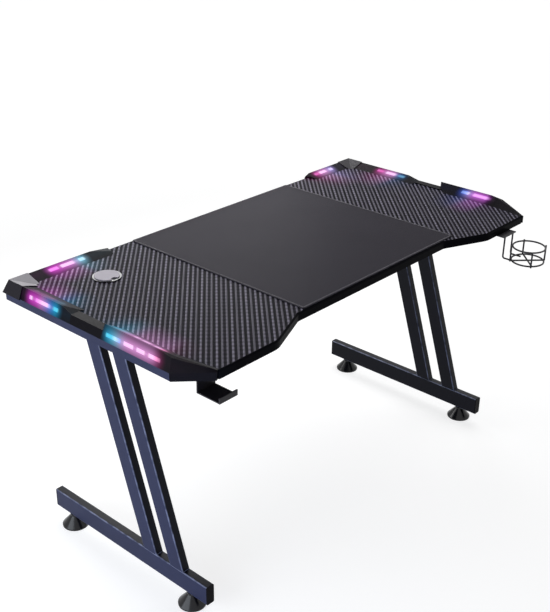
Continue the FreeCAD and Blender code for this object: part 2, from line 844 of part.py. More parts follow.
def controller():
    x0, x1 = box_left, box_left + box_width
    y0, y1 = box_front, box_front + box_depth
    z1 = board_bottom
    z0 = z1 - box_height
    case = block(x0, x1, y0, y1, z0, z1).cut(
        block(x0 + box_wall, x1 - box_wall, y0 + box_wall, y1 - box_wall, z0 + box_wall, z1 + overrun))
    ears, screws, holes = [], [], []
    for edge, sign in ((x0, -1), (x1, 1)):
        far = edge + sign * ear_length
        ears.append(block(min(edge, far), max(edge, far), y0 + ear_inset, y0 + ear_inset + ear_width,
                          z1 - ear_thick, z1))
        spot = (edge + sign * ear_length / 2, y0 + ear_inset + ear_width / 2)
        screws.append(wood_screw(*spot, z1 - ear_thick, short_screw_bite))
        holes.append(screw_hole(*spot, z1 - ear_thick, short_screw_bite))
    floor = z0 + box_wall
    pcb_z = floor + pcb_lift
    posts = [post(x, y, floor, pcb_z, post_radius)
             for x in (x0 + box_wall + post_inset, x1 - box_wall - post_inset)
             for y in (y0 + box_wall + post_inset, y1 - box_wall - post_inset)]
    case = joined([case] + ears + posts).cut(holes)
    pad = box_wall + pcb_gap
    button_z = pcb_z + pcb_thick + switch_width / 2
    mid_x = (x0 + x1) / 2
    inner = y0 + box_wall
    flange_start = inner + button_gap
    flange_end = flange_start + button_flange_thick
    tail_end = flange_end + button_tail
    button = joined([
        rod(Vector(mid_x, y0 - button_stand, button_z), Vector(mid_x, flange_start, button_z), button_radius),
        rod(Vector(mid_x, flange_start, button_z), Vector(mid_x, flange_end, button_z), button_flange),
        rod(Vector(mid_x, flange_end, button_z), Vector(mid_x, tail_end, button_z), button_tail_radius)])
    case = case.cut(rod(Vector(mid_x, y0 - overrun, button_z), Vector(mid_x, inner + overrun, button_z),
                        button_radius + button_fit))
    switch_y = tail_end + button_travel + switch_slack
    switch = block(mid_x - switch_width / 2, mid_x + switch_width / 2, switch_y, switch_y + switch_depth,
                   pcb_z + pcb_thick, pcb_z + pcb_thick + switch_width)
    relief = flange_end + button_travel + switch_slack
    board = block(x0 + pad, x1 - pad, relief, y1 - pad, pcb_z, pcb_z + pcb_thick)
    socket_x = x1 - socket_inset
    socket_z = pcb_z + pcb_thick
    face = y0 - socket_stand
    socket = block(socket_x - socket_width / 2, socket_x + socket_width / 2, face, face + socket_depth,
                   socket_z, socket_z + socket_height)
    case = case.cut(block(socket_x - socket_width / 2 - socket_gap, socket_x + socket_width / 2 + socket_gap,
                          y0 - overrun, inner + overrun, socket_z - socket_gap,
                          socket_z + socket_height + socket_gap))
    mouth = Vector(socket_x, face, socket_z + socket_height / 2)
    socket = socket.cut(rod(mouth - Vector(0, overrun, 0), mouth + Vector(0, socket_bore_depth, 0),
                            socket_bore))
    return case, button, switch, board, socket, screws, holes


def cables():
    """Two cables to each side, the holes that they rise through and the clips that hold them."""
    level = board_bottom - cable_gap - cable_radius
    tip = top_height - cable_end_gap
    runs, holes, clips = [], [], []
    clip_places = []
    for sign, start, shares in ((-1, box_left, left_clip_shares), (1, box_left + box_width, right_clip_shares)):
        front_x = sign * (half_width - front_cable_in)
        rear_x = sign * (half_width - rear_cable_in)
        rise_x = sign * (half_width - rear_rise_in)
        front_run = [Vector(start, front_cable_y, level), Vector(front_x, front_cable_y, level),
                     Vector(front_x, front_cable_y, tip)]
        rear_run = [Vector(start, rear_cable_y, level), Vector(rear_x, rear_cable_y, level),
                    Vector(rear_x, rear_bend_y, level), Vector(rise_x, rear_rise_y, level),
                    Vector(rise_x, rear_rise_y, tip)]
        runs.append(bent_wire(front_run, [cable_rise_radius], cable_radius))
        rear_radii = [cable_corner_radius, cable_bend_radius, cable_rise_radius]
        runs.append(bent_wire(rear_run, rear_radii, cable_radius))
        for end in (front_run[-1], rear_run[-1]):
            holes.append(post(end.x, end.y, board_bottom - overrun, top_height + overrun,
                              cable_radius + cable_hole_clear))
        clip_places += [start + (front_x - start) * share for share in shares]
    middle = (front_cable_y + rear_cable_y) / 2
    groove = cable_radius + clip_clear
    for x in clip_places:
        x0 = x - clip_length / 2
        x1 = x0 + clip_length
        clip = block(x0, x1, middle - clip_width / 2, middle + clip_width / 2,
                     board_bottom - clip_height, board_bottom)
        for y in (front_cable_y, rear_cable_y):
            clip = clip.cut(rod(Vector(x0 - overrun, y, level), Vector(x1 + overrun, y, level), groove))
            clip = clip.cut(block(x0 - overrun, x1 + overrun, y - groove, y + groove, level, board_bottom))
        clips.append(clip)
    return runs, holes, clips


# Build and save every piece

os.makedirs("parts", exist_ok=True)

left_rear_lens = (left_rear_lens_start, left_rear_lens_start + left_rear_lens_length)
left_side_lens = (left_side_lens_start, left_side_lens_start + left_side_lens_length)
right_rear_lens = (right_rear_lens_start, right_rear_lens_start + right_rear_lens_length)
right_side_lens = (right_side_lens_start, right_side_lens_start + right_side_lens_length)
guards = {
    "left": rear_guard(left_rear_arm, left_side_arm, left_rear_fall, left_rear_lens, left_side_lens),
    "right": rear_guard(right_rear_arm, right_side_arm, right_rear_fall, right_rear_lens, right_side_lens)}
guard_screws, strips = [], []
for side in sides:
    shell, cap, lenses, screws, lights = guards[side]
    save(f"rear_{side}_guard", on_side(shell, side))
    save(f"rear_{side}_corner_cap", on_side(cap, side))
    save(f"rear_{side}_lenses", *[on_side(lens, side) for lens in lenses])
    guard_screws += [on_side(screw, side) for screw in screws]
    strips += [on_side(light, side) for light in lights]
    shell, lenses, screws, lights = front_guard()
    save(f"front_{side}_guard", on_side(shell, side))
    save(f"front_{side}_lenses", *[on_side(lens, side) for lens in lenses])
    guard_screws += [on_side(screw, side) for screw in screws]
    strips += [on_side(light, side) for light in lights]
save("guard_screws", *guard_screws)
save("light_strips", *strips)

strip_section = [(0, -skirt_drop), (strip_crest_in, strip_crest_up), (strip_width, strip_crest_up),
                 (strip_width, 0), (board_inset, 0), (board_inset, -skirt_drop)]
for side in sides:
    side_arm = left_side_arm if side == "left" else right_side_arm
    start = Vector(-half_width, guard_rear - side_arm, 0)
    end = Vector(-half_width, front_guard_start, 0)
    edge_strip = arm(strip_section, start, end, 0, -front_end_slant_share)
    save(f"{side}_edge_strip", on_side(edge_strip, side))
    rail_start = Vector(-half_width, guard_rear, 0)
    rail_end = Vector(-half_width, front_edge + corner_cut_y + end_rail_stop, 0)
    inner = rail_setback + end_rail_thick
    angle_section = [(rail_setback, -end_rail_drop), (rail_setback, -skirt_drop - end_rail_gap),
                     (inner, -skirt_drop - end_rail_gap), (inner, -board_thick),
                     (inner + end_rail_flange, -board_thick),
                     (inner + end_rail_flange, -board_thick - end_rail_thick),
                     (inner, -board_thick - end_rail_thick), (inner, -end_rail_drop)]
    save(f"{side}_end_rail", on_side(arm(angle_section, rail_start, rail_end, 0, 0), side))

ring, grommet_cap, grommet_hole = grommet()
save("grommet_ring", ring)
save("grommet_cap", grommet_cap)

hook, hook_screws, hook_holes = headphone_hook()
save("headphone_hook", hook)

cup_plate, uprights, hangers, cup_ring, cup_base, cup_screws, cup_holes = cup_holder()
save("cup_holder_plate", cup_plate)
save("cup_holder_uprights", *uprights)
save("cup_holder_hangers", *hangers)
save("cup_holder_ring", cup_ring)
save("cup_holder_base", cup_base)

case, button, switch, circuit, socket, box_screws, box_holes = controller()
save("control_box", case)
save("control_button", button)
save("circuit_board", circuit, switch)
save("power_socket", socket)
save("short_screws", *hook_screws, *cup_screws, *box_screws)

light_cables, cable_holes, clips = cables()
save("light_cables", *light_cables)
save("cable_clips", *clips)

board_holes = hook_holes + cup_holes + box_holes + cable_holes
tube_holes, bolts, inserts, end_plates, rail_screws = [], [], [], [], []
for name, y in (("front_rail", front_rail_y), ("rear_rail", rear_rail_y)):
    tube, plates, rail_bolts, rail_inserts, screws, holes, wall_holes = rail(y)
    save(name, tube)
    end_plates += plates
    bolts += rail_bolts
    inserts += rail_inserts
    rail_screws += screws
    board_holes += holes
    tube_holes += wall_holes
save("rail_end_plates", *end_plates)
save("rail_bolts", *bolts)
save("rail_inserts", *inserts)

foot_nuts, beam_plugs, top_plugs, tube_screws = [], [], [], []
for side in sides:
    beam = box_tube(beam_front, beam_rear, beam_bottom, beam_top)
    for place, y in (("rear", beam_rear - foot_rear_inset), ("front", beam_front + foot_front_inset)):
        cone, stud, nut, hole = levelling_foot(y)
        beam = beam.cut(hole)
        save(f"{place}_{side}_foot", on_side(cone, side))
        save(f"{place}_{side}_stud", on_side(stud, side))
        foot_nuts.append(on_side(nut, side))
    save(f"{side}_foot_beam", on_side(beam, side))
    beam_plugs += [on_side(tube_plug(beam_rear, 1, beam_bottom), side),
                   on_side(tube_plug(beam_front, -1, beam_bottom), side)]
    save(f"{side}_rear_leg", on_side(leg(rear_leg_mid), side))
    save(f"{side}_front_leg", on_side(leg(front_leg_mid), side))
    top_tube = on_side(box_tube(top_tube_front, top_tube_rear, top_tube_bottom, board_bottom), side)
    for share in tube_screw_shares:
        y = top_tube_front + (top_tube_rear - top_tube_front) * share
        spot = (sides[side] * frame_mid, y, top_tube_bottom, tube_height + top_screw_bite)
        hole = screw_hole(*spot, top_screw_radius)
        top_tube = top_tube.cut(hole)
        board_holes.append(hole)
        tube_screws.append(wood_screw(*spot, top_screw_radius, top_screw_head_radius, top_screw_head_height))
    save(f"{side}_top_tube", top_tube.cut(tube_holes))
    top_plugs += [on_side(tube_plug(top_tube_rear, 1, top_tube_bottom), side),
                  on_side(tube_plug(top_tube_front, -1, top_tube_bottom), side)]
save("foot_nuts", *foot_nuts)
save("tube_plugs", *beam_plugs, *top_plugs)
save("top_screws", *rail_screws, *tube_screws)

for screw in guard_screws:
    middle = screw.BoundBox.Center
    board_holes.append(screw_hole(middle.x, middle.y, board_bottom, board_thick + overrun))
save("table_board", bevelled_top().cut(board_holes + [grommet_hole]).Solids[0])
save("desk_mat", desk_mat())
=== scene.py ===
import json
import math

import bpy
from mathutils import Matrix, Vector


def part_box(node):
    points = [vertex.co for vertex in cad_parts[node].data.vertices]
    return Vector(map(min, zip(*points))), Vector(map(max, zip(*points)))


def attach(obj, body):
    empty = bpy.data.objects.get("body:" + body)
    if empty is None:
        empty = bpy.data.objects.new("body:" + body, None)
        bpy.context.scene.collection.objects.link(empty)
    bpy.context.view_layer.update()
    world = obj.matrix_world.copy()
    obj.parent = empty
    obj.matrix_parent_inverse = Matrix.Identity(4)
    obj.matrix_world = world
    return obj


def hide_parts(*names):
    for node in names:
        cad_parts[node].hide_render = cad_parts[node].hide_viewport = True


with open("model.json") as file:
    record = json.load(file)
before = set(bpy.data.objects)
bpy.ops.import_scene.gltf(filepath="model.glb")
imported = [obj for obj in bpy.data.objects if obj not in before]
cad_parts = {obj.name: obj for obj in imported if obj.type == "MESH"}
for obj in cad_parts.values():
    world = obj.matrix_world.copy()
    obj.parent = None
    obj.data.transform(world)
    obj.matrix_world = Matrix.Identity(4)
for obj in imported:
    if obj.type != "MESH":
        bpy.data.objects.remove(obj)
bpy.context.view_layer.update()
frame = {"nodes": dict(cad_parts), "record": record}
nodes = frame["nodes"]

# Lengths are in metres. The middle of the table top lies this far behind the frame's origin.
MIDDLE_Y = 0.06175
BOARD_LOW, BOARD_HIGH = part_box("table_board")
TOP = BOARD_HIGH.z
# Outer faces of the guards, from the middle of the table top
TABLE_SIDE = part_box("rear_right_guard")[1].x
TABLE_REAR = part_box("rear_right_guard")[1].y - MIDDLE_Y
MAT_LOW, MAT_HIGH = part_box("desk_mat")
MAT_CORNERS = [Vector((MAT_HIGH.x, MAT_HIGH.y)), Vector((MAT_LOW.x, MAT_HIGH.y)),
               Vector((MAT_LOW.x, MAT_LOW.y)), Vector((MAT_HIGH.x, MAT_LOW.y))]
QUARTER_TURN = math.pi / 2


def linear(red, green, blue):
    """A colour given as 0 to 255 screen values, as the shaders take it."""
    def channel(value):
        share = value / 255
        return share / 12.92 if share <= 0.04045 else ((share + 0.055) / 1.055) ** 2.4
    return (channel(red), channel(green), channel(blue), 1.0)


# Node helpers
SOFT_DETAIL = 3.0
FINE_DETAIL = 4.0


def feed(tree, socket, value):
    """Links a socket to another one, or sets its value."""
    if isinstance(value, bpy.types.NodeSocket):
        tree.links.new(value, socket)
    else:
        socket.default_value = value


def node(tree, kind, inputs=None, **settings):
    made = tree.nodes.new(kind)
    for name, value in settings.items():
        setattr(made, name, value)
    for key, value in (inputs or {}).items():
        feed(tree, made.inputs[key], value)
    return made


def dress(tree, shader, **inputs):
    """Feeds a shader's sockets; their names have underscores for spaces."""
    for key, value in inputs.items():
        feed(tree, shader.inputs[key.replace("_", " ")], value)


def material(name, **inputs):
    made = bpy.data.materials.new(name)
    made.use_nodes = True
    tree = made.node_tree
    shader = tree.nodes["Principled BSDF"]
    dress(tree, shader, **inputs)
    return made, tree, shader


def place(tree):
    return node(tree, "ShaderNodeTexCoord").outputs["Object"]


def part_of(tree, vector, axis):
    return node(tree, "ShaderNodeSeparateXYZ", {0: vector}).outputs[axis]


def facing(tree, axis):
    """How far a face looks along an axis, from -1 to 1."""
    return part_of(tree, node(tree, "ShaderNodeNewGeometry").outputs["Normal"], axis)


def maths(tree, operation, first, second=0.0, clamp=False):
    made = node(tree, "ShaderNodeMath", {0: first, 1: second}, operation=operation, use_clamp=clamp)
    return made.outputs[0]


def noise(tree, scale, detail=SOFT_DETAIL, where=None):
    inputs = {"Vector": where or place(tree), "Scale": scale, "Detail": detail}
    return node(tree, "ShaderNodeTexNoise", inputs).outputs["Fac"]


def spread(tree, value, low, high, start=0.0, end=1.0):
    """A value from start to end, as one from low to high."""
    inputs = {"Value": value, "From Min": start, "From Max": end, "To Min": low, "To Max": high}
    return node(tree, "ShaderNodeMapRange", inputs).outputs["Result"]


def blend(tree, share, first, second, kind="MIX"):
    """Two colours mixed; the mix node's colour sockets are known by their numbers only."""
    made = node(tree, "ShaderNodeMix", data_type="RGBA", blend_type=kind)
    for key, value in (("Factor", share), (6, first), (7, second)):
        feed(tree, made.inputs[key], value)
    return made.outputs[2]


def mottled(tree, scale, dark, light):
    """Two close tones in soft patches."""
    return blend(tree, noise(tree, scale), dark, light)


def uneven(tree, scale, low, high):
    """A value that wanders between two limits."""
    return spread(tree, noise(tree, scale), low, high)


def ramp(tree, share, stops, curve):
    made = node(tree, "ShaderNodeValToRGB", {"Fac": share})
    made.color_ramp.interpolation = curve
    elements = made.color_ramp.elements
    while len(elements) < len(stops):
        elements.new(1.0)
    for element, (spot, colour) in zip(elements, stops):
        element.position = spot
        element.color = colour
    return made.outputs["Color"]


def bump(tree, shader, height, strength, depth):
    made = node(tree, "ShaderNodeBump", {"Height": height, "Strength": strength, "Distance": depth})
    dress(tree, shader, Normal=made.outputs["Normal"])


def speckled(name, dark, light, roughness, grain, depth, **inputs):
    """A moulded or painted finish: two close tones, uneven gloss and a fine grain."""
    made, tree, shader = material(name, **inputs)
    swing = 0.06
    dress(tree, shader, Base_Color=mottled(tree, scale=14.0, dark=dark, light=light),
          Roughness=uneven(tree, scale=60.0, low=roughness - swing, high=roughness + swing))
    bump(tree, shader, noise(tree, grain, FINE_DETAIL), strength=0.35, depth=depth)
    return made


# Lights behind the lenses: their colours
BLACK = (0.0, 0.0, 0.0, 1.0)
PINK = linear(250, 150, 246)
PALE_PINK = linear(255, 214, 252)
ROSE = linear(255, 172, 224)
DIM_ROSE = linear(190, 110, 160)
MAGENTA = linear(226, 108, 196)
PURPLE = linear(150, 76, 158)
LILAC = linear(246, 184, 254)
LAVENDER = linear(226, 214, 255)
CYAN = linear(96, 216, 244)
PALE_CYAN = linear(200, 240, 255)
STEEL = linear(98, 160, 198)
BLUE = linear(120, 150, 222)
PALE_BLUE = linear(176, 194, 255)
DIM = linear(150, 84, 164)
DIM_BLUE = linear(104, 122, 182)
# Colours between two lights, which the halos leave out
GAPS = (DIM, DIM_BLUE, DIM_ROSE)
# Middle of each lens in the section of a guard: inward of the edge, and above the top
OUTER_LENS = (0.0045, -0.003, 0.0)
REAR_INNER_LENS = (0.025, 0.008, 0.0)
FRONT_INNER_LENS = (0.025, 0.012, 0.0)
# Behind this place the rear arm of a rear guard begins
ARM_LIMIT = 0.29 + MIDDLE_Y
LENS_GLOW = 1.05
LENS_FADE = 0.008
LENS_REACH = 0.0075
LENS_POWER = 0.8
GUARD_GLOW = 0.75
HALO_FADE = 0.022
HALO_BLUR = 0.02
HALO_REACH = 0.036
HALO_POWER = 1.6
HALO_GAMMA = 2.2
SPILL_FADE = 0.07
SPILL_START = 0.045
SPILL_REACH = {"left": 0.08, "right": 0.13}
SPILL_POWER = 1.5


class Stretch:
    """A lit stretch of a guard along X or Y; the stops are places and colours in their order."""

    def __init__(self, axis, stops, inner):
        self.axis = axis
        self.stops = stops
        self.inner = inner

    def colour(self, tree, where, fade, stops=None, curve="LINEAR"):
        """The colours along the stretch, which go out over the fade past its two ends."""
        stops = stops or self.stops
        ahead = math.copysign(1.0, stops[-1][0] - stops[0][0])
        start = stops[0][0] - ahead * fade
        end = stops[-1][0] + ahead * fade
        shares = [((spot - start) / (end - start), colour) for spot, colour in stops]
        share = spread(tree, part_of(tree, where, self.axis), 0.0, 1.0, start, end)
        return ramp(tree, share, [(0.0, BLACK)] + shares + [(1.0, BLACK)], curve)

    def halo(self, tree, where, fade):
        """Deep blurred colours along the stretch, without the gaps between its lights."""
        bright = self.stops[:1]
        for stop in self.stops[1:-1]:
            if stop[1] not in GAPS and abs(stop[0] - bright[-1][0]) > HALO_BLUR:
                bright.append(stop)
        return deep(tree, self.colour(tree, where, fade, bright + self.stops[-1:], "B_SPLINE"))

    def inward(self, tree, where):
        """How far a place lies inward of the table's edge."""
        if self.axis == "Y":
            sideways = maths(tree, "ABSOLUTE", part_of(tree, where, "X"))
            return maths(tree, "SUBTRACT", TABLE_SIDE, sideways)
        return maths(tree, "SUBTRACT", TABLE_REAR + MIDDLE_Y, part_of(tree, where, "Y"))


def along_y(*stops, inner=1.0):
    """A stretch of a side; places in millimetres from the middle of the table top."""
    return Stretch("Y", [(y / 1000 + MIDDLE_Y, colour) for y, colour in stops], inner)


def along_x(*stops, inner=1.0):
    """A stretch of the rear edge; places in millimetres from the middle of the table top."""
    return Stretch("X", [(x / 1000, colour) for x, colour in stops], inner)


rear_left_rear = along_x(
    (-576, PINK), (-552, PINK), (-545, DIM), (-538, PALE_PINK), (-502, PALE_PINK), (-488, DIM_BLUE),
    (-480, PALE_CYAN), (-466, PALE_CYAN))
rear_left_side = along_y(
    (258, PINK), (249, PALE_PINK), (240, DIM), (229, PINK), (206, PALE_PINK), (186, PALE_PINK),
    (178, PALE_BLUE), (168, DIM_BLUE), (157, CYAN), (146, CYAN), inner=0.12)
front_left = along_y(
    (-40, CYAN), (-56, CYAN), (-70, PALE_CYAN), (-86, PALE_BLUE), (-94, DIM_BLUE), (-101, PALE_PINK),
    (-130, PALE_PINK), (-138, DIM), (-145, PALE_PINK), (-168, PALE_PINK), (-177, DIM_ROSE),
    (-186, PALE_PINK), (-197, PALE_PINK), (-208, ROSE), (-220, DIM_ROSE), inner=0.75)
rear_right_rear = along_x(
    (496, MAGENTA), (513, MAGENTA), (521, PALE_PINK), (546, PALE_PINK), (559, PURPLE), (568, LAVENDER),
    (582, LAVENDER))
rear_right_side = along_y(
    (208, MAGENTA), (188, MAGENTA), (180, DIM), (172, PALE_PINK), (142, PALE_PINK), (130, DIM_BLUE),
    (121, STEEL), (106, STEEL))
front_right = along_y(
    (-116, BLUE), (-132, PALE_BLUE), (-141, LAVENDER), (-151, DIM), (-161, LILAC), (-204, LILAC),
    (-216, PURPLE))
LIT = {"rear_left": (rear_left_side, rear_left_rear), "front_left": (front_left,),
       "rear_right": (rear_right_side, rear_right_rear), "front_right": (front_right,)}


def lens_spots(name):
    return OUTER_LENS, REAR_INNER_LENS if name.startswith("rear") else FRONT_INNER_LENS


def by_arm(tree, where, choices):
    """The side arm's value in front of the corner, and the rear arm's value behind it."""
    if len(choices) == 1:
        return choices[0]
    behind = maths(tree, "GREATER_THAN", part_of(tree, where, "Y"), ARM_LIMIT)
    return blend(tree, behind, *choices)


def deep(tree, colour):
    """The same hue with the white taken out of it."""
    return node(tree, "ShaderNodeGamma", {"Color": colour, "Gamma": HALO_GAMMA}).outputs[0]


def nearness(tree, where, stretch, spots, reach, power):
    """1 at the middle of a lens of an arm, or the inner lens's share, and 0 beyond the reach."""
    upward = maths(tree, "SUBTRACT", part_of(tree, where, "Z"), TOP)
    inputs = {0: stretch.inward(tree, where), 1: upward}
    section = node(tree, "ShaderNodeCombineXYZ", inputs).outputs[0]
    near = []
    for spot, share in zip(spots, (1.0, stretch.inner)):
        away = node(tree, "ShaderNodeVectorMath", {0: section, 1: spot}, operation="DISTANCE")
        falling = spread(tree, away.outputs["Value"], 1.0, 0.0, 0.0, reach)
        near.append(maths(tree, "MULTIPLY", maths(tree, "POWER", falling, power), share))
    return maths(tree, "MAXIMUM", *near)


def arm_halo(tree, where, stretch, spots):
    """The light that shows through the smoky plastic round both lenses of an arm."""
    near = nearness(tree, where, stretch, spots, HALO_REACH, HALO_POWER)
    return blend(tree, near, BLACK, stretch.halo(tree, where, HALO_FADE))


def arm_glow(tree, where, stretch, spots):
    """Colour of the lenses: pale in the middle of their width, deeper towards their edges and ends."""
    core = stretch.colour(tree, where, LENS_FADE)
    near = nearness(tree, where, stretch, spots, LENS_REACH, LENS_POWER)
    bar = blend(tree, near, deep(tree, core), core)
    between = (spots[0][0] + spots[1][0]) / 2
    inside = maths(tree, "GREATER_THAN", stretch.inward(tree, where), between)
    bar = blend(tree, maths(tree, "MULTIPLY", inside, 1.0 - stretch.inner), bar, BLACK)
    halo = blend(tree, GUARD_GLOW / LENS_GLOW, BLACK, arm_halo(tree, where, stretch, spots))
    return blend(tree, 1.0, bar, halo, "LIGHTEN")


def spill(tree):
    """Coloured light that the lenses throw on the table top beside them."""
    where = place(tree)
    sideways = part_of(tree, where, "X")
    total = BLACK
    for name, stretches in LIT.items():
        side = name.split("_")[1]
        here = maths(tree, "LESS_THAN" if side == "left" else "GREATER_THAN", sideways, 0.0)
        limit = SPILL_START + SPILL_REACH[side]
        for stretch in stretches:
            near = spread(tree, stretch.inward(tree, where), 1.0, 0.0, SPILL_START, limit)
            share = maths(tree, "MULTIPLY", maths(tree, "POWER", near, SPILL_POWER), here)
            total = blend(tree, share, total, stretch.halo(tree, where, SPILL_FADE), "ADD")
    return total


def lens_material(name, stretches):
    """A smoky lens that shows the lights behind it."""
    made, tree, shader = material(name + "_lens", Base_Color=(0.004, 0.004, 0.005, 1.0), Roughness=0.3,
                                  Specular_IOR_Level=0.05, Emission_Strength=LENS_GLOW)
    where = place(tree)
    spots = lens_spots(name)
    glow = by_arm(tree, where, [arm_glow(tree, where, stretch, spots) for stretch in stretches])
    cloudy = uneven(tree, scale=160.0, low=0.0, high=0.12)
    dress(tree, shader, Emission_Color=blend(tree, cloudy, glow, deep(tree, glow)))
    bump(tree, shader, noise(tree, scale=700.0), strength=0.2, depth=0.0003)
    return made


def guard_material(name, stretches):
    """Smoky black plastic: the lights under it show through near the lenses."""
    made, tree, shader = material(name + "_plastic", Emission_Strength=GUARD_GLOW,
                                  Specular_IOR_Level=0.03)
    where = place(tree)
    spots = lens_spots(name)
    halo = by_arm(tree, where, [arm_halo(tree, where, stretch, spots) for stretch in stretches])
    dress(tree, shader, Emission_Color=halo,
          Base_Color=mottled(tree, scale=18.0, dark=linear(9, 8, 11), light=linear(18, 16, 22)),
          Roughness=uneven(tree, scale=70.0, low=0.34, high=0.48))
    bump(tree, shader, noise(tree, scale=900.0, detail=FINE_DETAIL), strength=0.3, depth=0.0004)
    return made


def cap_material(name, tone, shade):
    """One tone on the slopes of a corner cap, and a darker one on its upright outer faces."""
    made, tree, shader = material(name, Specular_IOR_Level=0.1)
    slope = spread(tree, facing(tree, "Z"), 0.0, 1.0, start=0.6, end=0.75)
    patchy = blend(tree, uneven(tree, scale=16.0, low=0.0, high=0.3), tone, shade)
    dress(tree, shader, Base_Color=blend(tree, slope, shade, patchy),
          Roughness=uneven(tree, scale=60.0, low=0.36, high=0.48))
    bump(tree, shader, noise(tree, scale=800.0, detail=FINE_DETAIL), strength=0.35, depth=0.0004)
    return made


# Table top: dark valleys between pale ribs on the face, and a black band round the edge
WEAVE_SCALE = 50.0 / 3.0
WEAVE_TURNS = (45.0, -45.0)


def weave(tree):
    """Two crossed waves, 19 mm long, which vary the tone along the ribs."""
    waves = []
    for turn in WEAVE_TURNS:
        rotation = (0.0, 0.0, math.radians(turn))
        turned = node(tree, "ShaderNodeMapping", {"Vector": place(tree), "Rotation": rotation})
        wave = node(tree, "ShaderNodeTexWave", {"Vector": turned.outputs[0], "Scale": WEAVE_SCALE})
        waves.append(wave.outputs["Fac"])
    return maths(tree, "MULTIPLY", *waves)


def board_material():
    made, tree, shader = material("ribbed_laminate", Specular_IOR_Level=0.01, Emission_Strength=0.15)
    face = spread(tree, facing(tree, "Z"), 0.0, 1.0, start=0.9, end=0.98)
    waves = weave(tree)
    valleys = blend(tree, waves, linear(13, 12, 18), linear(33, 30, 41))
    band = mottled(tree, scale=25.0, dark=linear(10, 10, 13), light=linear(18, 18, 23))
    dress(tree, shader, Base_Color=blend(tree, face, band, valleys),
          Roughness=spread(tree, face, low=0.3, high=0.46), Emission_Color=spill(tree))
    bump(tree, shader, waves, strength=0.3, depth=0.0003)
    return made


def rib_material():
    made, tree, shader = material("rib_laminate", Specular_IOR_Level=0.03, Emission_Strength=0.32)
    waves = weave(tree)
    tone = mottled(tree, scale=7.0, dark=linear(106, 103, 119), light=linear(138, 133, 152))
    darkening = 0.6
    shade = blend(tree, darkening, tone, BLACK)
    dress(tree, shader, Base_Color=blend(tree, waves, shade, tone),
          Roughness=uneven(tree, scale=90.0, low=0.3, high=0.46), Emission_Color=spill(tree))
    bump(tree, shader, waves, strength=0.5, depth=0.0004)
    return made


# Ribs of the top, clipped to the face that the guards, the mat and the grommet leave free.
# The profile goes across a rib: place and height.
RIB_PITCH = 0.0121
RIB_PROFILE = ((-0.0026, 0.0), (-0.0017, 0.00055), (0.0, 0.0007), (0.0017, 0.00055), (0.0026, 0.0))
RIB_TURN = math.radians(45.0)
RIB_SINK = 0.00005
# Ribs on each side of the middle one, how far a strip's end may slant, and the shortest strip
RIB_COUNT = 70
RIB_SLACK = 0.02
RIB_SHORTEST = 0.001
RING_STEPS = 48
# The board's bevel, the recess in its front edge and its cut-off corners, from the middle of the top
EDGE_BEVEL = 0.0045
RECESS_FRONT = -0.292
RECESS_HALF = 0.313
NOSE_HALF = 0.449
CUT_HALF = 0.6399
CUT_REAR = -0.253
# What the guards and caps cover; the slopes are of the ends of the guards' arms
GUARD_WIDTH = 0.048
REAR_ARM_SLOPE = 0.3
FRONT_ARM_SLOPE = 0.85
CAP_STEP = 0.009
CORNER_START = -0.2429
CORNER_BEND = (0.6367, -0.3434)
CORNER_END = 0.63
# Places past the board's edges
PAST_SIDE = 0.8
PAST_REAR = 0.4
PAST_FRONT = -0.5


def crossings(outline, origin, along):
    """Places along a line where it crosses the sides of a closed outline."""
    across = Vector((-along.y, along.x))
    found = []
    for start, end in zip(outline, outline[1:] + outline[:1]):
        a = (start - origin).dot(across)
        b = (end - origin).dot(across)
        if (a < 0) != (b < 0):
            hit = start.lerp(end, a / (a - b))
            found.append((hit - origin).dot(along))
    return sorted(found)


def free_spans(outline, blocks, origin, along):
    """Stretches of a line that lie inside the outline and outside every block."""
    marks = crossings(outline, origin, along)
    spans = list(zip(marks[::2], marks[1::2]))
    for block in blocks:
        cut = crossings(block, origin, along)
        for low, high in zip(cut[::2], cut[1::2]):
            kept = []
            for start, end in spans:
                if high <= start or low >= end:
                    kept.append((start, end))
                    continue
                if low > start:
                    kept.append((start, low))
                if high < end:
                    kept.append((high, end))
            spans = kept
    return spans


def flat(points):
    return [Vector((x, y + MIDDLE_Y)) for x, y in points]


def mesh_piece(name, verts, faces, finish, smooth=False):
    mesh = bpy.data.meshes.new(name)
    mesh.from_pydata([tuple(v) for v in verts], [], faces)
    mesh.validate()
    mesh.materials.append(finish)
    if smooth:
        mesh.shade_smooth()
    piece = bpy.data.objects.new(name, mesh)
    bpy.context.scene.collection.objects.link(piece)
    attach(piece, "desk")
    return piece


def rib_outline():
    """The flat face of the board, inside its bevelled edge."""
    side = BOARD_HIGH.x - EDGE_BEVEL
    front = BOARD_LOW.y - MIDDLE_Y + EDGE_BEVEL
    rear = BOARD_HIGH.y - MIDDLE_Y - EDGE_BEVEL
    recess = RECESS_FRONT + EDGE_BEVEL
    right = [(RECESS_HALF, recess), (NOSE_HALF, front), (CUT_HALF, front), (side, CUT_REAR), (side, rear)]
    return flat(right + [(-x, y) for x, y in reversed(right)])


def inner_corner(name):
    """Where a node of the left or right edge begins sideways and at its front."""
    low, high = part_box(name)
    return min(abs(low.x), abs(high.x)), low.y - MIDDLE_Y


